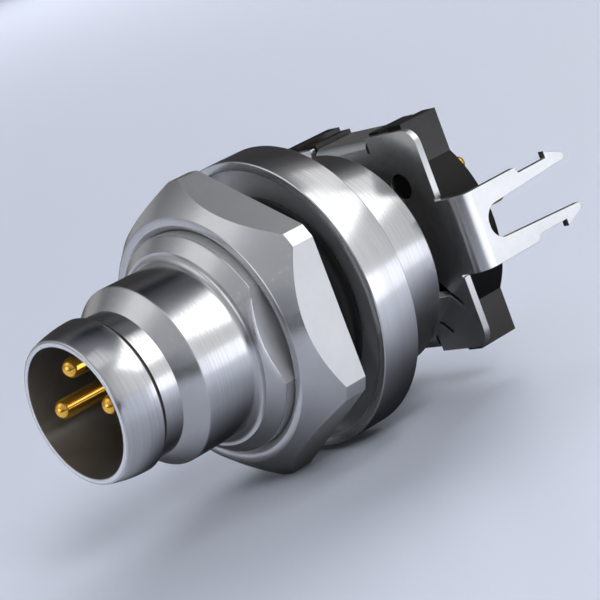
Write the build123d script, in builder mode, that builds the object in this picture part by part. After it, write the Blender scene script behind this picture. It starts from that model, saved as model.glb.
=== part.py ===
"""Panel-mount circular sensor connector with three contacts, a lock nut and a shield plate.

Millimetres. The connector's axis is Y, with the plug side towards -Y and the solder side towards +Y.
The origin is on the axis, in the plane of the flange lip that meets the panel. X is to the right
seen from the plug side, where the thread's flat lies, and Z is up.
"""

import os
from math import cos, radians, sin

from build123d import *

os.makedirs("parts", exist_ok=True)

# Gaps between pieces that fit together
fit_gap = 0.03
thread_gap = 0.03
seal_gap = 0.02

# Housing, nose
nose_length = 13.04
neck_wall = 0.38
neck_length = 1.36
lip_step = 0.25
lip_length = 2.1
lip_round = 0.31
lip_rear_round = 0.12
barrel_step = 0.885
barrel_end = 7.55
barrel_fillet = 0.35

# Housing, panel thread
thread_d = 11.5
thread_lead = 0.65
thread_end_gap = 0.74
thread_end_chamfer = 0.3
thread_flat_depth = 0.55
undercut_depth = 1.3

# Housing, flange and rear sleeve
flange_overhang = 0.68
flange_length = 2.41
flange_chamfer = 0.05
panel_lip_width = 0.43
recess_depth = 0.86
sleeve_wall = 1.94
sleeve_length = 3.63
edge_round = 0.1
bore_wall = 0.55
socket_step = 0.53
socket_depth = 8.6

# Lock nut
nut_wall = 1.25
nut_corner_rise = 0.19
nut_length = 2.9
nut_to_panel = 1.59
nut_face_inset = 0.5
nut_chamfer_length = 1.6
nut_mouth_chamfer = 0.28

# Rubber seals
panel_seal_section = 1.28
carrier_seal_section = 0.78

# Contacts
contact_circle_r = 2.02
contact_d = 1.0
contact_recess = 0.35
contact_body_d = 1.5
contact_body_start = 10.6
tail_d = 0.8
tail_length = 7.32
tail_chamfer = 0.25

# Contact carrier
carrier_face = 6.5
carrier_neck_step = 0.7
carrier_chamfer = 0.15
seal_groove_start = 0.57
seal_side_gap = 0.11

# Shield plate
sheet = 0.4
inner_bend_r = 0.2
plate_to_sleeve = 1.54
plate_inset = 0.09
plate_height = 11.74
plate_corner_r = 0.9
plate_hole_gap = 0.05
tab_width = 4.0
tab_inset = 0.09
tab_length = 2.98
relief_width = 0.24
relief_depth = 0.87
peg_hole_x = 3.6
peg_hole_z = 3.03
peg_hole_gap = 0.14

# Solder forks of the shield plate
fork_inset = 0.23
fork_width = 4.0
fork_notch = 0.12
fork_length = 7.68
fork_bend_r = 0.5
shank_length = 4.13
shank_taper_length = 0.2
prong_width = 3.34
barb_start = 6.43
barb_depth = 0.38
prong_tip_width = 3.08
prong_tip_gap = 2.4
fork_slot_width = 1.82
fork_slot_start = 1.28

# Contact tongues of the shield plate
tongue_spread = 90.0
tongue_width = 1.86
tongue_slit = 0.2
tongue_root = 5.97
tongue_bend = 4.98
tongue_tip_land = 0.42

# Rear insulator
insulator_margin = 0.13
insulator_length = 2.61
tail_hole_gap = 0.05
peg_d = 1.1
peg_sink = 0.1
ear_inner = 3.65
ear_width = 1.0
ear_rise = 0.23
long_ear_extra = 0.6
tab_side_gap = 0.15
rib_width = 0.75
rib_rise = 0.13
bend_clearance_chamfer = 0.17

# Diameters and widths that follow from the sizes above
shoulder_d = thread_d - 2 * thread_lead
undercut_d = thread_d - 2 * undercut_depth
rear_bore_d = undercut_d - 2 * bore_wall
sleeve_d = rear_bore_d + 2 * sleeve_wall
socket_d = rear_bore_d - 2 * socket_step
neck_d = socket_d + 2 * neck_wall
lip_d = neck_d + 2 * lip_step
barrel_d = neck_d + 2 * barrel_step
nut_across_flats = thread_d + 2 * nut_wall
nut_face_d = nut_across_flats - 2 * nut_face_inset
flange_d = nut_across_flats + 2 * flange_overhang
nut_corner_d = flange_d + 2 * nut_corner_rise
recess_d = flange_d - 2 * (flange_chamfer + panel_lip_width)
carrier_neck_d = rear_bore_d - 2 * carrier_neck_step
plate_width = sleeve_d - 2 * plate_inset
seal_groove_d = rear_bore_d - 2 * carrier_seal_section - 4 * seal_gap
peg_hole_d = peg_d + 2 * peg_hole_gap
plate_hole_d = carrier_neck_d + 2 * plate_hole_gap
tab_height = plate_height - 2 * tab_inset
fork_span = flange_d - 2 * fork_inset
tongue_tip = rear_bore_d / 2 + tongue_tip_land
insulator_d = plate_height + 2 * insulator_margin
ear_height = plate_height / 2 + ear_rise
rib_start = tab_width / 2 + tab_side_gap
rib_height = plate_height / 2 + rib_rise

# Places along the axis that follow from the sizes above
rim = -nose_length
lip_rear = rim + lip_length
neck_rear = lip_rear + neck_length
shoulder = rim + barrel_end
thread_rear = -thread_end_gap
bore_step = rim + socket_depth
sleeve_rear = flange_length + sleeve_length
nut_rear = -nut_to_panel
nut_front = nut_rear - nut_length
carrier_front = rim + carrier_face
core_front = bore_step + fit_gap
groove_front = core_front + seal_groove_start
groove_rear = groove_front + carrier_seal_section + 2 * seal_side_gap
contact_tip = rim + contact_recess
body_front = rim + contact_body_start
plate_front = sleeve_rear + plate_to_sleeve
plate_rear = plate_front + sheet
plate_middle = plate_front + sheet / 2
insulator_front = plate_rear + fit_gap
insulator_rear = insulator_front + insulator_length
tail_end = plate_rear + tail_length
bend_middle_r = inner_bend_r + sheet / 2


def across(y):
    """Plane across the axis at one place, seen from the plug side, with Z as its own y."""
    return Plane(origin=(0, y, 0), x_dir=(1, 0, 0), z_dir=(0, -1, 0))


def along(angle):
    """Plane through the axis at an angle from X, with x outwards and y along the axis."""
    outward = Vector(cos(radians(angle)), 0, sin(radians(angle)))
    return Plane(origin=(0, 0, 0), x_dir=outward, z_dir=outward.cross(Vector(0, 1, 0)))


contact_places = {
    "contact_right": (contact_circle_r, 0),
    "contact_top": (0, contact_circle_r),
    "contact_left": (-contact_circle_r, 0),
}
peg_places = [(-peg_hole_x, peg_hole_z), (peg_hole_x, peg_hole_z)]

# Housing, turned in one piece from the plug lip to the rear sleeve
with BuildPart() as housing:
    with BuildSketch() as section:
        with BuildLine():
            Polyline(
                (socket_d / 2, rim),
                (lip_d / 2, rim),
                (lip_d / 2, lip_rear),
                (neck_d / 2, lip_rear),
                (neck_d / 2, neck_rear),
                (barrel_d / 2, neck_rear + barrel_step),
                (barrel_d / 2, shoulder),
                (shoulder_d / 2, shoulder),
                (thread_d / 2, shoulder + thread_lead),
                (thread_d / 2, thread_rear - thread_end_chamfer),
                (thread_d / 2 - thread_end_chamfer, thread_rear),
                (undercut_d / 2, thread_rear),
                (undercut_d / 2, recess_depth),
                (recess_d / 2, recess_depth),
                (recess_d / 2, 0),
                (flange_d / 2 - flange_chamfer, 0),
                (flange_d / 2, flange_chamfer),
                (flange_d / 2, flange_length),
                (sleeve_d / 2, flange_length),
                (sleeve_d / 2, sleeve_rear),
                (rear_bore_d / 2, sleeve_rear),
                (rear_bore_d / 2, bore_step),
                (socket_d / 2, bore_step),
                close=True,
            )
        make_face()
        corners = section.vertices()
        fillet(corners.sort_by_distance((lip_d / 2, rim))[0], radius=lip_round)
        fillet(corners.sort_by_distance((lip_d / 2, lip_rear))[0], radius=lip_rear_round)
        fillet(corners.sort_by_distance((barrel_d / 2, shoulder))[0], radius=barrel_fillet)
        fillet(corners.sort_by_distance((flange_d / 2, flange_length))[0], radius=edge_round)
        fillet(corners.sort_by_distance((sleeve_d / 2, sleeve_rear))[0], radius=edge_round)
    revolve(axis=Axis.Y)
    with BuildSketch(across(thread_rear)):
        with Locations((thread_d / 2 - thread_flat_depth, 0)):
            Rectangle(thread_d, thread_d, align=(Align.MIN, Align.CENTER))
    extrude(amount=thread_rear - shoulder, mode=Mode.SUBTRACT)

housing.part.label = "housing"
export_step(housing.part, "parts/housing.step")

# Lock nut, a hexagon with turned corners and a chamfered front
with BuildPart() as hex_nut:
    nut_bore_r = thread_d / 2 + thread_gap
    nut_mouth_r = nut_bore_r + nut_mouth_chamfer
    with BuildSketch(across(nut_rear)):
        RegularPolygon(nut_across_flats / 2, 6, major_radius=False, rotation=30)
    extrude(amount=nut_length)
    with BuildSketch():
        with BuildLine():
            Polyline(
                (nut_mouth_r, nut_front),
                (nut_face_d / 2, nut_front),
                (nut_corner_d / 2, nut_front + nut_chamfer_length),
                (nut_corner_d / 2, nut_rear),
                (nut_mouth_r, nut_rear),
                (nut_bore_r, nut_rear - nut_mouth_chamfer),
                (nut_bore_r, nut_front + nut_mouth_chamfer),
                close=True,
            )
        make_face()
    revolve(axis=Axis.Y, mode=Mode.INTERSECT)

hex_nut.part.label = "hex_nut"
export_step(hex_nut.part, "parts/hex_nut.step")

# Panel seal, a rubber ring round the undercut that sits in the flange recess
with BuildPart() as panel_seal:
    panel_seal_r = undercut_d / 2 + seal_gap + panel_seal_section / 2
    with BuildSketch():
        with Locations((panel_seal_r, recess_depth - seal_gap - panel_seal_section / 2)):
            Circle(panel_seal_section / 2)
    revolve(axis=Axis.Y)

panel_seal.part.label = "panel_seal"
export_step(panel_seal.part, "parts/panel_seal.step")

# Contact carrier, the moulded core that holds the contacts in the housing
with BuildPart() as contact_carrier:
    front_r = socket_d / 2 - fit_gap
    core_r = rear_bore_d / 2 - fit_gap
    with BuildSketch():
        with BuildLine():
            Polyline(
                (0, carrier_front),
                (front_r - carrier_chamfer, carrier_front),
                (front_r, carrier_front + carrier_chamfer),
                (front_r, core_front),
                (core_r, core_front),
                (core_r, groove_front),
                (seal_groove_d / 2, groove_front),
                (seal_groove_d / 2, groove_rear),
                (core_r, groove_rear),
                (core_r, sleeve_rear),
                (carrier_neck_d / 2, sleeve_rear),
                (carrier_neck_d / 2, plate_rear),
                (0, plate_rear),
                close=True,
            )
        make_face()
    revolve(axis=Axis.Y)
    with BuildSketch(across(plate_rear)):
        with Locations(*contact_places.values()):
            Circle(contact_d / 2 + fit_gap)
    extrude(amount=plate_rear - carrier_front, mode=Mode.SUBTRACT)
    with BuildSketch(across(plate_rear)):
        with Locations(*contact_places.values()):
            Circle(contact_body_d / 2 + fit_gap)
    extrude(amount=plate_rear - body_front + fit_gap, mode=Mode.SUBTRACT)

contact_carrier.part.label = "contact_carrier"
export_step(contact_carrier.part, "parts/contact_carrier.step")

# Carrier seal, a small rubber ring in the carrier's groove
with BuildPart() as carrier_seal:
    carrier_seal_r = (seal_groove_d + rear_bore_d) / 4
    with BuildSketch():
        with Locations((carrier_seal_r, (groove_front + groove_rear) / 2)):
            Circle(carrier_seal_section / 2)
    revolve(axis=Axis.Y)

carrier_seal.part.label = "carrier_seal"
export_step(carrier_seal.part, "parts/carrier_seal.step")

# Contacts, turned pins with a round tip, a thick body in the carrier and a thin solder tail
for name, (x, z) in contact_places.items():
    with BuildPart() as contact:
        with BuildSketch(Plane(origin=(x, 0, z))):
            with BuildLine():
                CenterArc((0, contact_tip + contact_d / 2), contact_d / 2, 270, 90)
                Polyline(
                    (contact_d / 2, contact_tip + contact_d / 2),
                    (contact_d / 2, body_front),
                    (contact_body_d / 2, body_front),
                    (contact_body_d / 2, plate_rear),
                    (tail_d / 2, plate_rear),
                    (tail_d / 2, tail_end - tail_chamfer),
                    (tail_d / 2 - tail_chamfer, tail_end),
                    (0, tail_end),
                    (0, contact_tip),
                )
            make_face()
        revolve(axis=Axis((x, 0, z), (0, 1, 0)))

    contact.part.label = name
    export_step(contact.part, f"parts/{name}.step")

# Shield plate, one stamped sheet with forks, tabs and tongues bent out of it
with BuildPart() as shield_plate:
    with BuildSketch(across(plate_rear)):
        RectangleRounded(plate_width, plate_height, plate_corner_r)
        Circle(plate_hole_d / 2, mode=Mode.SUBTRACT)
        with Locations(*peg_places):
            Circle(peg_hole_d / 2, mode=Mode.SUBTRACT)
        for side in (-1, 1):
            with Locations((0, side * plate_height / 2)):
                Rectangle(
                    tab_width + 2 * relief_width,
                    2 * relief_depth,
                    mode=Mode.SUBTRACT,
                )
            with Locations((side * plate_width / 2, 0)):
                Rectangle(
                    2 * fork_notch,
                    fork_width + 2 * fork_notch,
                    mode=Mode.SUBTRACT,
                )
        with PolarLocations(tongue_root, 2, -90 - tongue_spread / 2, tongue_spread, endpoint=True):
            Rectangle(
                tongue_root,
                tongue_width + 2 * tongue_slit,
                align=(Align.MAX, Align.CENTER),
                mode=Mode.SUBTRACT,
            )
    extrude(amount=sheet)

    for side in (-1, 1):
        tab_middle = side * (tab_height - sheet) / 2
        with BuildSketch(Plane.YZ):
            with BuildLine():
                FilletPolyline(
                    (plate_middle, side * (plate_height / 2 - relief_depth - sheet)),
                    (plate_middle, tab_middle),
                    (plate_front + tab_length, tab_middle),
                    radius=bend_middle_r,
                )
            trace(line_width=sheet)
        extrude(amount=tab_width / 2, both=True)

        fork_middle = side * (fork_span - sheet) / 2
        bend_end = plate_rear + fork_bend_r
        with BuildSketch(Plane.XY):
            with BuildLine():
                FilletPolyline(
                    (side * (plate_width / 2 - fork_notch - sheet), plate_middle),
                    (fork_middle, plate_middle),
                    (fork_middle, bend_end + sheet),
                    radius=fork_bend_r + sheet / 2,
                )
            trace(line_width=sheet)
        extrude(amount=fork_width / 2, both=True)

        fork_end = plate_front + fork_length
        slot_centre = plate_front + fork_slot_start + fork_slot_width / 2
        with BuildSketch(Plane.YZ.offset(fork_middle)):
            for half in (-1, 1):
                with BuildLine():
                    Polyline(
                        (bend_end, 0),
                        (bend_end, half * fork_width / 2),
                        (plate_front + shank_length, half * fork_width / 2),
                        (plate_front + shank_length + shank_taper_length, half * prong_width / 2),
                        (plate_front + barb_start, half * prong_width / 2),
                        (plate_front + barb_start, half * (prong_width / 2 + barb_depth)),
                        (fork_end, half * prong_tip_width / 2),
                        (fork_end, 0),
                        close=True,
                    )
                make_face()
            with BuildLine():
                Polyline(
                    (slot_centre, -fork_slot_width / 2),
                    (slot_centre, fork_slot_width / 2),
                    (fork_end, prong_tip_gap / 2),
                    (fork_end, -prong_tip_gap / 2),
                    close=True,
                )
            make_face(mode=Mode.SUBTRACT)
            with Locations((slot_centre, 0)):
                Circle(fork_slot_width / 2, mode=Mode.SUBTRACT)
        extrude(amount=sheet / 2, both=True)

    for angle in (-90 - tongue_spread / 2, -90 + tongue_spread / 2):
        with BuildSketch(along(angle)):
            with BuildLine():
                FilletPolyline(
                    (tongue_root + sheet, plate_middle),
                    (tongue_bend, plate_middle),
                    (tongue_tip, sleeve_rear - sheet / 2),
                    radius=bend_middle_r,
                )
            trace(line_width=sheet)
            with Locations((tongue_tip, sleeve_rear + fit_gap)):
                Rectangle(2 * sheet, 2 * sheet, align=(Align.CENTER, Align.MAX), mode=Mode.SUBTRACT)
        extrude(amount=tongue_width / 2, both=True)

shield_plate.part.label = "shield_plate"
export_step(shield_plate.part, "parts/shield_plate.step")

# Rear insulator, a moulded block with pegs, ears and ribs that guide the plate's tabs
with BuildPart() as rear_insulator:
    tab_floor = tab_height / 2 - sheet - fit_gap
    with BuildSketch(across(insulator_rear)):
        Circle(insulator_d / 2)
        with Locations((0, tab_floor), (0, -tab_floor)):
            Rectangle(2 * rib_start, 2 * (insulator_d / 2 - tab_floor), mode=Mode.SUBTRACT)
        for side in (-1, 1):
            with Locations((side * (rib_start + rib_width / 2), 0)):
                Rectangle(rib_width, 2 * rib_height)
            with Locations((side * (ear_inner + ear_width / 2), 0)):
                Rectangle(ear_width, 2 * ear_height)
        with Locations(*contact_places.values()):
            Circle(tail_d / 2 + tail_hole_gap, mode=Mode.SUBTRACT)
    extrude(amount=insulator_length)
    front_edges = rear_insulator.edges().group_by(Axis.Y)[0].filter_by(Axis.X)
    tab_edges = [edge for edge in front_edges if edge.length > rib_start]
    chamfer(tab_edges, length=bend_clearance_chamfer)
    with BuildSketch(across(insulator_rear)):
        for side in (-1, 1):
            with Locations((-ear_inner - ear_width / 2, side * ear_height)):
                Rectangle(
                    ear_width,
                    ear_height - insulator_d / 2 * sin(radians(45)),
                    align=(Align.CENTER, Align.MAX if side > 0 else Align.MIN),
                )
    extrude(amount=-long_ear_extra)
    with BuildSketch(across(insulator_front)):
        with Locations(*peg_places):
            Circle(peg_d / 2)
    extrude(amount=insulator_front - plate_front - peg_sink)

rear_insulator.part.label = "rear_insulator"
export_step(rear_insulator.part, "parts/rear_insulator.step")
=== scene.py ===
from math import cos, pi, radians, sin, tan

import bmesh
import bpy
from mathutils import Matrix, Vector


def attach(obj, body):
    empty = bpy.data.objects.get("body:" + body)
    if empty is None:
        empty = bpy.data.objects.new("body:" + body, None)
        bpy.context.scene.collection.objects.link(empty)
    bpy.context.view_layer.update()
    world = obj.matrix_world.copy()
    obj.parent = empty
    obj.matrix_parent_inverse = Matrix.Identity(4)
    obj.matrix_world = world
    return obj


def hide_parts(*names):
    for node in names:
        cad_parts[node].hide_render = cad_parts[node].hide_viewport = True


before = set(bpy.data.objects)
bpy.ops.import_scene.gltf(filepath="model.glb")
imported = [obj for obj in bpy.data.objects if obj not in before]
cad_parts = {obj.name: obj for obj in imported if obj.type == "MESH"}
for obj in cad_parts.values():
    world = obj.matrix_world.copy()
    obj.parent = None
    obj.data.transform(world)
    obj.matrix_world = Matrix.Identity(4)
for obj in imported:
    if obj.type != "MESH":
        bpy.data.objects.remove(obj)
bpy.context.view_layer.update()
scene = bpy.context.scene
mm = 0.001
axisY = Vector((0, 1, 0))

# Camera

viewpoint = {
    "location": (94.793, -71.346, 20.903),  # mm
    "turn": (79.224, 20.577, 48.529),  # degrees
    "lens": 144.775,
    "sensor": 36,
    "clip": (0.005, 50),  # m
}


def placeCamera(v):
    data = bpy.data.cameras.new("productCamera")
    data.lens = v["lens"]
    data.sensor_width = v["sensor"]
    data.clip_start, data.clip_end = v["clip"]
    camera = bpy.data.objects.new("productCamera", data)
    camera.location = Vector(v["location"]) * mm
    camera.rotation_euler = [radians(angle) for angle in v["turn"]]
    scene.collection.objects.link(camera)
    scene.camera = camera


placeCamera(viewpoint)
print("camera placed")

# Node helpers


def newMaterial(name):
    material = bpy.data.materials.new(name)
    material.use_nodes = True
    return material, material.node_tree, material.node_tree.nodes["Principled BSDF"]


def feed(tree, socket, value):
    if isinstance(value, bpy.types.NodeSocket):
        tree.links.new(value, socket)
    else:
        socket.default_value = value


def addNode(tree, kind, settings=None, inputs=None):
    node = tree.nodes.new(kind)
    for key, value in (settings or {}).items():
        setattr(node, key, value)
    for key, value in (inputs or {}).items():
        feed(tree, node.inputs[key], value)
    return node


def mathNode(tree, operation, a, b):
    return addNode(tree, "ShaderNodeMath", {"operation": operation}, {0: a, 1: b}).outputs[0]


def mapRange(tree, value, span, result, shape="LINEAR"):
    (low, high), (first, last) = span, result
    node = addNode(
        tree,
        "ShaderNodeMapRange",
        {"interpolation_type": shape, "clamp": True},
        {"Value": value, "From Min": low, "From Max": high, "To Min": first, "To Max": last},
    )
    return node.outputs["Result"]


def noise(tree, coords, scale, detail):
    mapping = addNode(tree, "ShaderNodeMapping", None, {"Vector": coords, "Scale": scale})
    node = addNode(
        tree,
        "ShaderNodeTexNoise",
        None,
        {"Vector": mapping.outputs[0], "Scale": 1.0, "Detail": detail, "Roughness": 0.6},
    )
    return node.outputs["Fac"]


def objectCoords(tree):
    return addNode(tree, "ShaderNodeTexCoord").outputs["Object"]


def bumpFrom(tree, height, strength, distance):
    inputs = {"Height": height, "Strength": strength, "Distance": distance}
    return addNode(tree, "ShaderNodeBump", None, inputs).outputs["Normal"]


def mixColor(tree, factor, colorA, colorB):
    node = addNode(tree, "ShaderNodeMix", {"data_type": "RGBA"}, {0: factor, 6: colorA, 7: colorB})
    return node.outputs[2]


def evenScale(s):
    return (s, s, s)


# Metal finishes

turnedNickel = {
    "color": (0.65, 0.65, 0.66, 1),
    "shade": (0.56, 0.56, 0.57, 1),
    "smoothest": 0.15,
    "roughest": 0.24,
    "fineMarks": (70, 9000, 70),  # long round the axis, short along it
    "broadMarks": (40, 3800, 40),
    "fineShare": 0.65,
    "broadShare": 0.35,
    "colorSpan": (0.35, 0.65),  # the part of the noise that goes from shade to color
    "roughSpan": (0.32, 0.68),
    "markStrength": 0.25,
    "markDepth": 0.000002,
}


def makeTurnedNickel(name, v):
    material, tree, shader = newMaterial(name)
    coords = objectCoords(tree)
    fine = mathNode(tree, "MULTIPLY", noise(tree, coords, v["fineMarks"], detail=3), v["fineShare"])
    broad = mathNode(tree, "MULTIPLY", noise(tree, coords, v["broadMarks"], detail=2), v["broadShare"])
    marks = mathNode(tree, "ADD", fine, broad)
    color = mixColor(tree, mapRange(tree, marks, v["colorSpan"], (0, 1)), v["shade"], v["color"])
    feed(tree, shader.inputs["Base Color"], color)
    rough = mapRange(tree, marks, v["roughSpan"], (v["roughest"], v["smoothest"]))
    feed(tree, shader.inputs["Roughness"], rough)
    feed(tree, shader.inputs["Normal"], bumpFrom(tree, marks, v["markStrength"], v["markDepth"]))
    shader.inputs["Metallic"].default_value = 1.0
    return material


metalGrain = {"cloud": 500, "grain": 3500, "span": (0.3, 0.7)}


def makeSmoothMetal(name, v):
    material, tree, shader = newMaterial(name)
    coords = objectCoords(tree)
    cloud = noise(tree, coords, evenScale(metalGrain["cloud"]), detail=2)
    grain = noise(tree, coords, evenScale(metalGrain["grain"]), detail=1)
    blend = mapRange(tree, cloud, metalGrain["span"], (0, 1))
    feed(tree, shader.inputs["Base Color"], mixColor(tree, blend, v["shade"], v["color"]))
    rough = mapRange(tree, grain, metalGrain["span"], (v["smoothest"], v["roughest"]))
    feed(tree, shader.inputs["Roughness"], rough)
    shader.inputs["Metallic"].default_value = v["metallic"]
    return material


milledNickel = {
    "color": (0.66, 0.66, 0.662, 1),
    "shade": (0.64, 0.64, 0.642, 1),
    "smoothest": 0.5,
    "roughest": 0.55,
    "metallic": 1.0,
}

conedNickel = {
    "color": (0.62, 0.62, 0.63, 1),
    "shade": (0.58, 0.58, 0.59, 1),
    "smoothest": 0.2,
    "roughest": 0.25,
    "metallic": 0.84,
}

flatNickel = {
    "color": (0.74, 0.74, 0.75, 1),
    "shade": (0.66, 0.66, 0.67, 1),
    "smoothest": 0.42,
    "roughest": 0.5,
    "metallic": 0.75,
}

# nickel painted dark brown-grey: painted shade for the inside of the socket, the rear bore and the
# groove behind the lip
shadePaintedNickel = {
    "color": (0.2, 0.183, 0.16, 1),
    "shade": (0.15, 0.136, 0.118, 1),
    "smoothest": 0.3,
    "roughest": 0.42,
    "metallic": 0.55,
}

rimNickel = {
    "color": (0.86, 0.87, 0.9, 1),
    "shade": (0.8, 0.81, 0.84, 1),
    "smoothest": 0.45,
    "roughest": 0.55,
    "metallic": 1.0,
}

goldPlate = {
    "color": (1.0, 0.58, 0.1, 1),
    "shade": (0.98, 0.52, 0.08, 1),
    "smoothest": 0.14,
    "roughest": 0.17,
    "metallic": 0.88,
}

tinnedSheet = {
    "color": (0.63, 0.632, 0.63, 1),
    "shade": (0.6, 0.602, 0.6, 1),
    "smoothest": 0.22,
    "roughest": 0.27,
    "metallic": 0.92,
}

turned = makeTurnedNickel("turnedNickel", turnedNickel)
milled = makeSmoothMetal("milledNickel", milledNickel)
coned = makeSmoothMetal("conedNickel", conedNickel)
flattened = makeSmoothMetal("flatNickel", flatNickel)
paintedBoreShade = makeSmoothMetal("shadePaintedNickel", shadePaintedNickel)
rimmed = makeSmoothMetal("rimNickel", rimNickel)
gold = makeSmoothMetal("goldPlate", goldPlate)
tinned = makeSmoothMetal("tinnedSheet", tinnedSheet)

# Plastics and rubber

blackPlastic = {
    "color": (0.02, 0.0165, 0.0135, 1),
    "worn": (0.028, 0.0235, 0.0195, 1),
    "smoothest": 0.26,
    "roughest": 0.36,
    "grainDepth": 0.000004,
    "specular": 0.5,
}

# a darker, duller copy of the black plastic for the rear insulator, all but the outer faces of its
# right ears: painted shade
paintedShadePlastic = {
    "color": (0.008, 0.0078, 0.0075, 1),
    "worn": (0.012, 0.0118, 0.0115, 1),
    "smoothest": 0.42,
    "roughest": 0.5,
    "grainDepth": 0.000002,
    "specular": 0.14,
}

sealRubber = {
    "color": (0.012, 0.012, 0.012, 1),
    "worn": (0.018, 0.018, 0.019, 1),
    "smoothest": 0.34,
    "roughest": 0.42,
    "grainDepth": 0.0000001,
    "specular": 0.24,
}

mouldedGrain = {
    "grain": 9000,
    "cloud": 500,
    "colorSpan": (0.35, 0.7),
    "roughSpan": (0.3, 0.7),
    "strength": 0.3,
}


def makeMoulded(name, v):
    material, tree, shader = newMaterial(name)
    coords = objectCoords(tree)
    grain = noise(tree, coords, evenScale(mouldedGrain["grain"]), detail=3)
    cloud = noise(tree, coords, evenScale(mouldedGrain["cloud"]), detail=3)
    blend = mapRange(tree, cloud, mouldedGrain["colorSpan"], (0, 1))
    feed(tree, shader.inputs["Base Color"], mixColor(tree, blend, v["color"], v["worn"]))
    rough = mapRange(tree, cloud, mouldedGrain["roughSpan"], (v["smoothest"], v["roughest"]))
    feed(tree, shader.inputs["Roughness"], rough)
    normal = bumpFrom(tree, grain, mouldedGrain["strength"], v["grainDepth"])
    feed(tree, shader.inputs["Normal"], normal)
    shader.inputs["Specular IOR Level"].default_value = v["specular"]
    return material


plastic = makeMoulded("blackPlastic", blackPlastic)
insulatorShadePaint = makeMoulded("paintedShadePlastic", paintedShadePlastic)
rubber = makeMoulded("sealRubber", sealRubber)
print("materials made")

# Mesh helpers

weld = 0.0001 * mm  # points closer than this become one
onPlane = 0.00001 * mm  # how near a point is when the cutting plane goes through it
flush = 0.999  # share of a normal along an axis, from which its face counts as square to that axis


def roundCorner(bm, vert, size, segments):
    bmesh.ops.bevel(
        bm,
        geom=[vert],
        offset=size * mm,
        offset_type="OFFSET",
        segments=segments,
        profile=0.5,
        affect="VERTICES",
        material=-1,
    )


def spinRound(bm, steps):
    bmesh.ops.spin(
        bm,
        geom=bm.verts[:] + bm.edges[:],
        cent=(0, 0, 0),
        axis=axisY,
        dvec=(0, 0, 0),
        angle=2 * pi,
        steps=steps,
        use_merge=True,
        use_duplicate=False,
    )
    bmesh.ops.remove_doubles(bm, verts=bm.verts[:], dist=weld)


def spinProfile(points, steps, closed=True):
    # a point is its radius and its place along the axis in mm, then size and segments of its round
    bm = bmesh.new()
    verts = [bm.verts.new((r * mm, y * mm, 0)) for r, y, *corner in points]
    following = verts[1:] + verts[:1] if closed else verts[1:]
    for a, b in zip(verts, following):
        bm.edges.new((a, b))
    for vert, (r, y, *corner) in zip(verts, points):
        if corner:
            roundCorner(bm, vert, *corner)
    spinRound(bm, steps)
    return bm


def cutFlat(bm, distance, angle, chosen=None):
    # takes away what lies beyond a plane parallel to the axis, and closes the cut
    normal = Vector((cos(radians(angle)), 0, sin(radians(angle))))
    faces = [face for face in bm.faces if chosen is None or chosen(face.calc_center_median())]
    # the edges and points in a fixed order, so that each run gives the same mesh
    edges = dict.fromkeys(edge for face in faces for edge in face.edges)
    verts = dict.fromkeys(vert for face in faces for vert in face.verts)
    bmesh.ops.bisect_plane(
        bm,
        geom=[*verts, *edges, *faces],
        dist=onPlane,
        plane_co=normal * distance * mm,
        plane_no=normal,
        clear_outer=True,
    )
    openEdges = [edge for edge in bm.edges if edge.is_boundary]
    bmesh.ops.holes_fill(bm, edges=openEdges, sides=0)


def markSharp(bm, sharpFrom):
    for face in bm.faces:
        face.smooth = True
    for edge in bm.edges:
        edge.smooth = len(edge.link_faces) != 2 or edge.calc_face_angle(0) < radians(sharpFrom)


def finishPiece(name, bm, materials, body, nodes, sharpFrom=25):
    bmesh.ops.recalc_face_normals(bm, faces=bm.faces[:])
    markSharp(bm, sharpFrom)
    mesh = bpy.data.meshes.new(name)
    bm.to_mesh(mesh)
    bm.free()
    piece = bpy.data.objects.new(name, mesh)
    scene.collection.objects.link(piece)
    for material in materials:
        mesh.materials.append(material)
    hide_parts(*nodes)
    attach(piece, body)
    return piece


def evenNormals(piece):
    # smooths the shading over the long faces beside narrow ones
    modifier = piece.modifiers.new("evenNormals", "WEIGHTED_NORMAL")
    modifier.keep_sharp = True


# Housing

# lengths in mm; places on the axis count from the flange lip, and the plug's side is negative
housingSizes = {
    "socketR": 3.37,
    "lipR": 4.0,
    "neckR": 3.75,
    "barrelR": 4.635,
    "shoulderR": 5.1,
    "threadR": 5.75,
    "undercutR": 4.45,
    "recessR": 7.2,
    "flangeR": 7.68,
    "sleeveR": 5.84,
    "rearBoreR": 3.9,
    "rim": -13.04,
    "lipRear": -10.94,
    "neckRear": -9.58,
    "shoulder": -5.49,
    "boreStep": -4.44,
    "threadRear": -0.74,
    "recessFloor": 0.86,
    "flangeRear": 2.41,
    "sleeveRear": 6.04,
    "flat": 5.2,
    "crownDepth": 0.33,
    "crownSteps": 12,
    "grooveDepth": 0.13,
    "grooveWidth": 0.29,
    "edgeBreak": 0.05,
    "threadChamfer": 0.3,
    "flatEdge": 0.2,
    "flatEdgeSegments": 4,
    "flatHalfWidth": 2.05,  # of the flat's straight front edge
    "leadNormal": (-0.9, -0.5),  # range of the forward slope of the cone in front of the flat
    "near": 0.01,  # how close a face lies to the plane that decides its finish
    "wallNear": 0.02,  # and to the wall of a bore
    "runOut": 0.1,  # how far the thread's finish goes on behind it
    "turnedSlope": 0.05,  # the steepest slope with turning marks
    "lipSlope": 0.3,  # and on the lip
    "steps": 320,
    # size and segments of each round
    "softCorner": (0.05, 2),
    "rimCorner": (0.09, 4),
    "lipCorner": (0.08, 6),
    "barrelCorner": (0.35, 6),
    "leadCorner": (0.1, 4),
    "recessCorner": (0.12, 3),
    "rearCorner": (0.1, 3),
}


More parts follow.
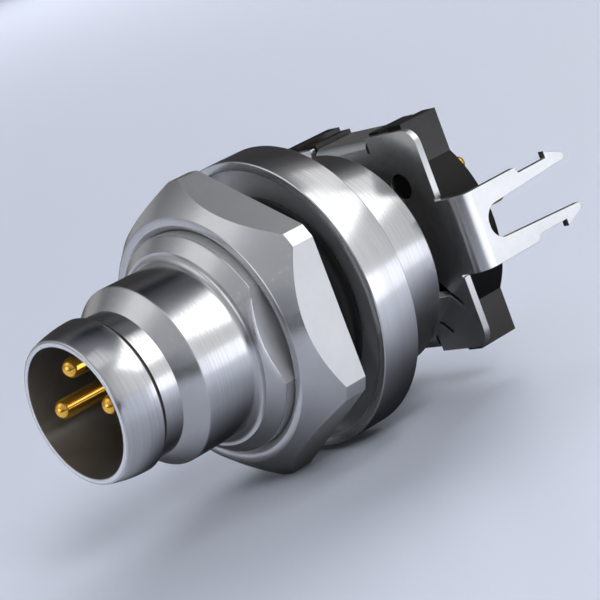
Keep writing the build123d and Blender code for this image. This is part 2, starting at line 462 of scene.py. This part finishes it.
def housingProfile(v):
    # the lip swells from the rim to its rear edge, and a narrow groove follows it
    crown = []
    for step in range(v["crownSteps"] + 1):
        part = step / v["crownSteps"]
        swell = v["crownDepth"] * (1 - (1 - part) ** 2)
        place = v["rim"] + (v["lipRear"] - v["rim"]) * part
        crown.append((v["lipR"] - v["crownDepth"] + swell, place))
    crown[0] += v["rimCorner"]
    crown[-1] += v["lipCorner"]
    grooveR = v["neckR"] - v["grooveDepth"]
    grooveRear = v["lipRear"] + v["grooveWidth"]
    cone = v["barrelR"] - v["neckR"]
    lead = v["threadR"] - v["shoulderR"]
    return [
        (v["socketR"], v["rim"], *v["softCorner"]),
        *crown,
        (grooveR, v["lipRear"]),
        (grooveR, grooveRear),
        (v["neckR"], grooveRear),
        (v["neckR"], v["neckRear"]),
        (v["barrelR"], v["neckRear"] + cone, *v["softCorner"]),
        (v["barrelR"], v["shoulder"], *v["barrelCorner"]),
        (v["shoulderR"], v["shoulder"]),
        (v["threadR"], v["shoulder"] + lead, *v["leadCorner"]),
        (v["threadR"], v["threadRear"] - v["threadChamfer"]),
        (v["threadR"] - v["threadChamfer"], v["threadRear"]),
        (v["undercutR"], v["threadRear"]),
        (v["undercutR"], v["recessFloor"], *v["recessCorner"]),
        (v["recessR"], v["recessFloor"]),
        (v["recessR"], 0, *v["softCorner"]),
        (v["flangeR"] - v["edgeBreak"], 0),
        (v["flangeR"], v["edgeBreak"]),
        (v["flangeR"], v["flangeRear"], *v["rearCorner"]),
        (v["sleeveR"], v["flangeRear"]),
        (v["sleeveR"], v["sleeveRear"], *v["rearCorner"]),
        (v["rearBoreR"], v["sleeveRear"], *v["softCorner"]),
        (v["rearBoreR"], v["boreStep"]),
        (v["socketR"], v["boreStep"]),
    ]


def isFrontOfFlat(v, edge):
    # the straight edge between the thread's flat and the lead cone in front of it
    if len(edge.link_faces) != 2:
        return False
    least, most = v["leadNormal"]
    return (
        max(face.normal.x for face in edge.link_faces) > flush
        and least < min(face.normal.y for face in edge.link_faces) < most
        and max(abs(vert.co.z) for vert in edge.verts) < v["flatHalfWidth"] * mm
        and max(abs(vert.co.x - v["flat"] * mm) for vert in edge.verts) < 10 * weld
    )


def housingFinish(v, face):
    # rim and recess floor come first, then bore and groove, thread and flat, and what is turned
    near, wallNear = v["near"] * mm, v["wallNear"] * mm
    middle = face.calc_center_median()
    radius = middle.xz.length
    alongAxis = abs(face.normal.y)
    lipRear = v["lipRear"] * mm
    grooveRear = lipRear + v["grooveWidth"] * mm
    inSocket = radius < v["socketR"] * mm + wallNear
    inRearBore = middle.y > v["boreStep"] * mm and radius < v["rearBoreR"] * mm + wallNear
    inGroove = radius < v["neckR"] * mm and lipRear - near < middle.y < grooveRear + near
    if alongAxis > flush and middle.y < v["rim"] * mm + near:
        return rimmed
    if alongAxis > flush and abs(middle.y - v["recessFloor"] * mm) < near:
        return flattened
    # painted shade: the socket, the rear bore and the groove behind the lip get the dark nickel
    if inSocket or inRearBore or inGroove:
        return paintedBoreShade
    if v["shoulder"] * mm < middle.y < (v["threadRear"] + v["runOut"]) * mm:
        return flattened if abs(face.normal.x) > flush else coned
    steepest = v["lipSlope"] if middle.y < lipRear else v["turnedSlope"]
    return turned if alongAxis < steepest else coned


def makeHousing(v):
    bm = spinProfile(housingProfile(v), v["steps"])
    front, rear = (v["shoulder"] - v["near"]) * mm, (v["threadRear"] + v["near"]) * mm
    undercut = v["undercutR"] * mm
    cutFlat(bm, v["flat"], 0, lambda c: front < c.y < rear and c.xz.length > undercut)
    bmesh.ops.recalc_face_normals(bm, faces=bm.faces[:])
    bmesh.ops.bevel(
        bm,
        geom=[edge for edge in bm.edges if isFrontOfFlat(v, edge)],
        offset=v["flatEdge"] * mm,
        offset_type="OFFSET",
        segments=v["flatEdgeSegments"],
        profile=0.5,
        affect="EDGES",
        clamp_overlap=False,
        material=-1,
    )
    bm.normal_update()
    finishes = [coned, turned, flattened, paintedBoreShade, rimmed]
    for face in bm.faces:
        face.material_index = finishes.index(housingFinish(v, face))
    evenNormals(finishPiece("housing", bm, finishes, "connector", ["housing"]))


makeHousing(housingSizes)
print("housing made")

# Lock nut

nutSizes = {
    "boreR": 5.78,
    "mouth": 0.28,
    "faceR": 6.5,
    "cornerR": 7.87,
    "front": -4.49,
    "rear": -1.59,
    "chamferLength": 1.6,
    "acrossFlats": 14.0,
    "flatArea": 5,  # mm2, less than each of the six flats has
    "upright": 0.01,  # and how little they lean
    "sliver": 0.012,  # what lies closer together is one point
    "steps": 384,
    # size and segments of each round
    "mouthCorner": (0.04, 2),
    "faceCorner": (0.05, 2),
}


def makeNut(v):
    mouthR = v["boreR"] + v["mouth"]
    points = [
        (mouthR, v["front"], *v["mouthCorner"]),
        (v["faceR"], v["front"], *v["faceCorner"]),
        (v["cornerR"], v["front"] + v["chamferLength"]),
        (v["cornerR"], v["rear"]),
        (mouthR, v["rear"]),
        (v["boreR"], v["rear"] - v["mouth"]),
        (v["boreR"], v["front"] + v["mouth"]),
    ]
    bm = spinProfile(points, v["steps"])
    for side in range(6):
        cutFlat(bm, v["acrossFlats"] / 2, 60 * side)
    bmesh.ops.remove_doubles(bm, verts=bm.verts[:], dist=v["sliver"] * mm)
    bm.normal_update()
    finishes = [coned, milled, flattened]
    for face in bm.faces:
        alongAxis = abs(face.normal.y)
        if alongAxis < v["upright"] and face.calc_area() > v["flatArea"] * mm * mm:
            face.material_index = finishes.index(milled)
        elif face.calc_center_median().xz.length < mouthR * mm:
            face.material_index = finishes.index(flattened)
    evenNormals(finishPiece("hexNut", bm, finishes, "nut", ["hex_nut"]))


makeNut(nutSizes)
print("lock nut made")

# Panel seal

sealSizes = {
    "ringR": 5.11,
    "sectionR": 0.64,
    "place": 0.2,
    "segments": 40,
    "steps": 192,
    "sharpFrom": 60,  # degrees
}


def makeSeal(v):
    bm = bmesh.new()
    bmesh.ops.create_circle(bm, cap_ends=False, radius=v["sectionR"] * mm, segments=v["segments"])
    bmesh.ops.translate(bm, verts=bm.verts[:], vec=(v["ringR"] * mm, v["place"] * mm, 0))
    spinRound(bm, v["steps"])
    finishPiece("panelSeal", bm, [rubber], "connector", ["panel_seal"], v["sharpFrom"])


makeSeal(sealSizes)
print("panel seal made")

# Contacts

contactSizes = {
    "angles": {"contact_right": 0, "contact_top": 90, "contact_left": 180},  # degrees
    "circleR": 2.02,
    "tip": -12.69,
    "pinR": 0.5,
    "bodyR": 0.75,
    "bodyFront": -2.44,
    "bodyRear": 7.98,
    "tailR": 0.4,
    "tailEnd": 15.3,
    "domeSteps": 12,
    "steps": 72,
    "sharpFrom": 40,  # degrees
    # size and segments of each round
    "bodyCorner": (0.06, 2),
    "tailCorner": (0.25, 4),
}


def makeContact(v, node, angle):
    dome = []
    for step in range(v["domeSteps"] + 1):
        turn = pi / 2 * step / v["domeSteps"]
        dome.append((v["pinR"] * sin(turn), v["tip"] + v["pinR"] * (1 - cos(turn))))
    points = [
        *dome,
        (v["pinR"], v["bodyFront"]),
        (v["bodyR"], v["bodyFront"], *v["bodyCorner"]),
        (v["bodyR"], v["bodyRear"], *v["bodyCorner"]),
        (v["tailR"], v["bodyRear"]),
        (v["tailR"], v["tailEnd"], *v["tailCorner"]),
        (0, v["tailEnd"]),
    ]
    bm = spinProfile(points, v["steps"], closed=False)
    place = Vector((cos(radians(angle)), 0, sin(radians(angle)))) * v["circleR"] * mm
    bmesh.ops.translate(bm, verts=bm.verts[:], vec=place)
    name = "contact" + node.removeprefix("contact_").title()
    evenNormals(finishPiece(name, bm, [gold], "connector", [node], v["sharpFrom"]))


for contactNode, contactAngle in contactSizes["angles"].items():
    makeContact(contactSizes, contactNode, contactAngle)
print("contacts made")

# Shield plate and rear insulator, cleaned up from their solids and given soft edges

plateSizes = {"softEdge": 0.02, "segments": 2}
insulatorSizes = {"softEdge": 0.05, "segments": 2, "sideNormal": 0.98, "sideZ": 3}

cleaning = {"merge": 0.001, "flatWithin": 0.6, "softFrom": 35}  # mm, degrees, degrees


def cleanCopy(node):
    bm = bmesh.new()
    bm.from_mesh(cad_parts[node].data)
    bmesh.ops.remove_doubles(bm, verts=bm.verts[:], dist=cleaning["merge"] * mm)
    bmesh.ops.dissolve_limit(
        bm,
        angle_limit=radians(cleaning["flatWithin"]),
        verts=bm.verts[:],
        edges=bm.edges[:],
        use_dissolve_boundaries=False,
    )
    bm.normal_update()
    return bm


def softenEdges(piece, v):
    bevel = piece.modifiers.new("softEdges", "BEVEL")
    bevel.width = v["softEdge"] * mm
    bevel.segments = v["segments"]
    bevel.limit_method = "ANGLE"
    bevel.angle_limit = radians(cleaning["softFrom"])
    bevel.harden_normals = True


def makePlate(v):
    bm = cleanCopy("shield_plate")
    piece = finishPiece("shieldPlate", bm, [tinned], "connector", ["shield_plate"])
    softenEdges(piece, v)


def makeInsulator(v):
    bm = cleanCopy("rear_insulator")
    finishes = [insulatorShadePaint, plastic]
    for face in bm.faces:
        # the outer faces of the right ears keep the carrier's plastic; all other faces get the darker,
        # duller copy, which is painted shade
        if face.normal.x > v["sideNormal"] and abs(face.calc_center_median().z) > v["sideZ"] * mm:
            face.material_index = finishes.index(plastic)
    nodes = ["rear_insulator"]
    piece = finishPiece("rearInsulator", bm, finishes, "connector", nodes)
    softenEdges(piece, v)


makePlate(plateSizes)
makeInsulator(insulatorSizes)
print("plate and insulator made")

# The carrier and its seal keep their own meshes

for cadNode, material in (("contact_carrier", plastic), ("carrier_seal", rubber)):
    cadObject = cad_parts[cadNode]
    cadObject.data.materials.clear()
    cadObject.data.materials.append(material)
print("carrier and its seal painted")

# Floor and light

studio = {
    "floorColor": (0.77, 0.822, 0.968, 1),
    "floorGlow": 0.01,  # added where camera or gloss sees the floor
    "floorGloss": 0.15,
    "floorRoughness": 0.35,
    "floorZ": -7.9,
    "floorSize": 6000,
    "paintedShadowDepth": 0.94,  # painted shadow: how much darker gloss sees the floor under the part
    "paintedShadowSlant": -0.37,  # slant of its side against the axis
    "paintedShadowSide": (1.7, 13.2),  # where it fades out on the right
    "paintedShadowFront": (-12, -8),  # and in front
    "lampDistance": 1600,
}


def direction(around, above):
    a, e = radians(around), radians(above)
    return Vector((cos(e) * cos(a), cos(e) * sin(a), sin(e)))


def makeLamp(name, width, height, brightness, place, facing):
    # width, height and place are in mm, and brightness is the same at any size
    data = bpy.data.lights.new(name, "AREA")
    data.shape = "RECTANGLE"
    data.size = width * mm
    data.size_y = height * mm
    data.energy = brightness * pi * width * height * mm * mm
    lamp = bpy.data.objects.new(name, data)
    lamp.location = place * mm
    lamp.rotation_euler = facing.to_track_quat("-Z", "Y").to_euler()
    lamp.visible_camera = False
    scene.collection.objects.link(lamp)
    return lamp


# direction round the object and above it, width, height and roll, all in degrees,
# then brightness and what sees it
lamps = {
    "rightRear": (46, 38, 46, 26, 20, 1.5, "gloss"),
    "frontTop": (-106, 54, 30, 30, 0, 0.3, "both"),
    "overRight": (8, 62, 24, 24, 0, 0.4, "gloss"),
    "intoSocket": (-100, 6, 34, 30, 0, 1.25, "gloss"),
    "leftRearLight": (121, 27, 30, 22, 0, 10.2, "diffuse"),
    "frontRightLight": (346, 36, 34, 18, 0, 6.0, "diffuse"),
    "highLeftLight": (150, 55, 34, 28, 0, 1.8, "diffuse"),
    "highRightLight": (28, 59, 50, 18, 0, 2.4, "diffuse"),
}


def makeLamps(v):
    reach = studio["lampDistance"]
    for name, (around, above, width, height, roll, brightness, seenBy) in v.items():
        outward = direction(around, above)
        sides = [2 * reach * tan(radians(angle / 2)) for angle in (width, height)]
        lamp = makeLamp(name, *sides, brightness, outward * reach, -outward)
        lamp.rotation_euler.rotate_axis("Z", radians(roll))
        lamp.visible_diffuse = seenBy != "gloss"
        lamp.visible_glossy = seenBy != "diffuse"


makeLamps(lamps)

# a low bright card on the right, seen only in the metal
# each part has its two ends along the axis and its brightness
lowCard = {"x": 26, "height": 8.4, "parts": [(0, 6, 0.85), (6, 18, 1.25), (18, 48, 0.8)]}


def makeLowCard(v):
    for fromY, toY, brightness in v["parts"]:
        place = Vector((v["x"], (fromY + toY) / 2, studio["floorZ"] + v["height"] / 2))
        card = makeLamp("lowCard", toY - fromY, v["height"], brightness, place, Vector((-1, 0, 0)))
        card.visible_diffuse = False


makeLowCard(lowCard)

# a narrow beam into the socket, for the pins
socketBeam = {
    "aim": (-0.6, -12, -0.3),
    "around": -52,
    "above": 24,
    "distance": 150,
    "angle": 3.4,
    "blend": 0.6,
    "softness": 14,
    "power": 1.6,
}


def makeSocketBeam(v):
    data = bpy.data.lights.new("socketBeam", "SPOT")
    data.energy = v["power"]
    data.spot_size = radians(v["angle"])
    data.spot_blend = v["blend"]
    data.shadow_soft_size = v["softness"] * mm
    beam = bpy.data.objects.new("socketBeam", data)
    outward = direction(v["around"], v["above"])
    beam.location = (Vector(v["aim"]) + outward * v["distance"]) * mm
    beam.rotation_euler = (-outward).to_track_quat("-Z", "Y").to_euler()
    beam.visible_glossy = False
    scene.collection.objects.link(beam)


makeSocketBeam(socketBeam)

# a small card inside the socket, seen only in the pins
pinCard = {"place": (2.7, -9.4, 0.7), "length": 4.6, "height": 3.4, "brightness": 1.9}


def makePinCard(v):
    place = Vector(v["place"])
    card = makeLamp("pinCard", v["length"], v["height"], v["brightness"], place, Vector((-1, 0, 0)))
    card.visible_diffuse = False


makePinCard(pinCard)

# a near bright card above the rear, seen only in the metal of the flange and sleeve
rearCard = {"fromX": 0, "toX": 11, "fromY": 16.5, "toY": 44, "z": 25, "brightness": 0.75}


def makeRearCard(v):
    place = Vector(((v["fromX"] + v["toX"]) / 2, (v["fromY"] + v["toY"]) / 2, v["z"]))
    width, height = v["toX"] - v["fromX"], v["toY"] - v["fromY"]
    card = makeLamp("rearCard", width, height, v["brightness"], place, Vector((0, 0, -1)))
    card.rotation_euler = (0, 0, 0)
    card.visible_diffuse = False


makeRearCard(rearCard)


def makeFloor(v):
    bm = bmesh.new()
    bmesh.ops.create_grid(bm, x_segments=1, y_segments=1, size=v["floorSize"] * mm)
    bmesh.ops.translate(bm, verts=bm.verts[:], vec=(0, 0, v["floorZ"] * mm))
    mesh = bpy.data.meshes.new("floor")
    bm.to_mesh(mesh)
    bm.free()
    floor = bpy.data.objects.new("floor", mesh)
    scene.collection.objects.link(floor)
    material, tree, shader = newMaterial("floorPaint")
    place = addNode(tree, "ShaderNodeSeparateXYZ", None, {0: objectCoords(tree)})
    path = addNode(tree, "ShaderNodeLightPath")
    # painted shadow: under the part the floor's colour turns darker for gloss rays only, so the metal
    # reflects a shadow there
    slant = mathNode(tree, "MULTIPLY", place.outputs["Y"], v["paintedShadowSlant"])
    right = mathNode(tree, "ADD", place.outputs["X"], slant)
    side = [edge * mm for edge in v["paintedShadowSide"]]
    front = [edge * mm for edge in v["paintedShadowFront"]]
    paintedShadow = mapRange(tree, right, side, (v["paintedShadowDepth"], 0), "SMOOTHSTEP")
    behind = mapRange(tree, place.outputs["Y"], front, (0, 1), "SMOOTHSTEP")
    paintedShadow = mathNode(tree, "MULTIPLY", paintedShadow, behind)
    dark = mathNode(tree, "MULTIPLY", paintedShadow, path.outputs["Is Glossy Ray"])
    color = mixColor(tree, dark, v["floorColor"], (0, 0, 0, 1))
    feed(tree, shader.inputs["Base Color"], color)
    seen = mathNode(tree, "MAXIMUM", path.outputs["Is Camera Ray"], path.outputs["Is Glossy Ray"])
    seen = mathNode(tree, "MAXIMUM", seen, path.outputs["Is Transmission Ray"])
    feed(tree, shader.inputs["Emission Color"], color)
    feed(tree, shader.inputs["Emission Strength"], mathNode(tree, "MULTIPLY", seen, v["floorGlow"]))
    shader.inputs["Roughness"].default_value = v["floorRoughness"]
    shader.inputs["Specular IOR Level"].default_value = v["floorGloss"]
    mesh.materials.append(material)


makeFloor(studio)

# a low dark bar in front, seen only in the metal, that gives the cones their dark band
darkBar = {
    "distance": 38,
    "around": -56,
    "length": 70,
    "bottom": -7.8,
    "top": 0,
    "color": (0.01, 0.01, 0.011, 1),
    "roughness": 0.8,
}


def makeDarkBar(v):
    bm = bmesh.new()
    bmesh.ops.create_grid(bm, x_segments=1, y_segments=1, size=0.5)
    height = v["top"] - v["bottom"]
    bmesh.ops.scale(bm, verts=bm.verts[:], vec=(v["length"] * mm, height * mm, 1))
    bmesh.ops.rotate(bm, verts=bm.verts[:], cent=(0, 0, 0), matrix=Matrix.Rotation(pi / 2, 3, "X"))
    turn = Matrix.Rotation(radians(v["around"] + 90), 3, "Z")
    bmesh.ops.rotate(bm, verts=bm.verts[:], cent=(0, 0, 0), matrix=turn)
    place = direction(v["around"], 0) * v["distance"] * mm
    place.z = (v["bottom"] + height / 2) * mm
    bmesh.ops.translate(bm, verts=bm.verts[:], vec=place)
    mesh = bpy.data.meshes.new("darkBar")
    bm.to_mesh(mesh)
    bm.free()
    bar = bpy.data.objects.new("darkBar", mesh)
    scene.collection.objects.link(bar)
    material, tree, shader = newMaterial("darkPaint")
    shader.inputs["Base Color"].default_value = v["color"]
    shader.inputs["Roughness"].default_value = v["roughness"]
    mesh.materials.append(material)
    for ray in ("camera", "diffuse", "shadow", "transmission"):
        setattr(bar, "visible_" + ray, False)


makeDarkBar(darkBar)

# brightness of the air by direction: base and dark side, then soft glows
# each glow has its direction, full and outer radius in degrees, and brightness
air = {
    "onPaint": 0.03,  # share of it that lights the floor and the plastics
    "facing": (-50, 0),
    "darkest": -0.75,
    "lightest": 0.1,
    "dark": (0.05, 0.05, 0.052, 1),
    "light": (0.425, 0.44, 0.47, 1),
    "glows": [
        (-106, 54, 6, 33, 0.3),
        (38, 12, 16, 46, 0.46),
        (176, 12, 4, 22, 0.36),
        (117, 50, 4, 20, 0.04),
        (-56, -3, 4, 22, -0.3),
        (95, 46, 4, 18, 0.22),
        (88, 72, 16, 30, -0.165),
    ],
}


def makeWorld(v):
    world = bpy.data.worlds.new("studioAir")
    world.use_nodes = True
    scene.world = world
    tree = world.node_tree
    way = addNode(tree, "ShaderNodeTexCoord").outputs["Generated"]

    def facing(around, above):
        inputs = {0: way, 1: direction(around, above)}
        node = addNode(tree, "ShaderNodeVectorMath", {"operation": "DOT_PRODUCT"}, inputs)
        return node.outputs["Value"]

    reach = (v["darkest"], v["lightest"])
    blend = mapRange(tree, facing(*v["facing"]), reach, (0, 1), "SMOOTHSTEP")
    color = mixColor(tree, blend, v["dark"], v["light"])
    for around, above, inner, outer, brightness in v["glows"]:
        reach = (cos(radians(outer)), cos(radians(inner)))
        glow = mapRange(tree, facing(around, above), reach, (0, brightness), "SMOOTHSTEP")
        addition = addNode(tree, "ShaderNodeVectorMath", {"operation": "ADD"}, {0: color, 1: glow})
        color = addition.outputs[0]
    feed(tree, tree.nodes["Background"].inputs["Color"], color)
    path = addNode(tree, "ShaderNodeLightPath")
    strength = mapRange(tree, path.outputs["Is Diffuse Ray"], (0, 1), (1, v["onPaint"]))
    feed(tree, tree.nodes["Background"].inputs["Strength"], strength)


makeWorld(air)
scene.view_settings.view_transform = "Standard"
scene.cycles.caustics_reflective = False  # the metal throws no light spots on the floor
print("studio made")
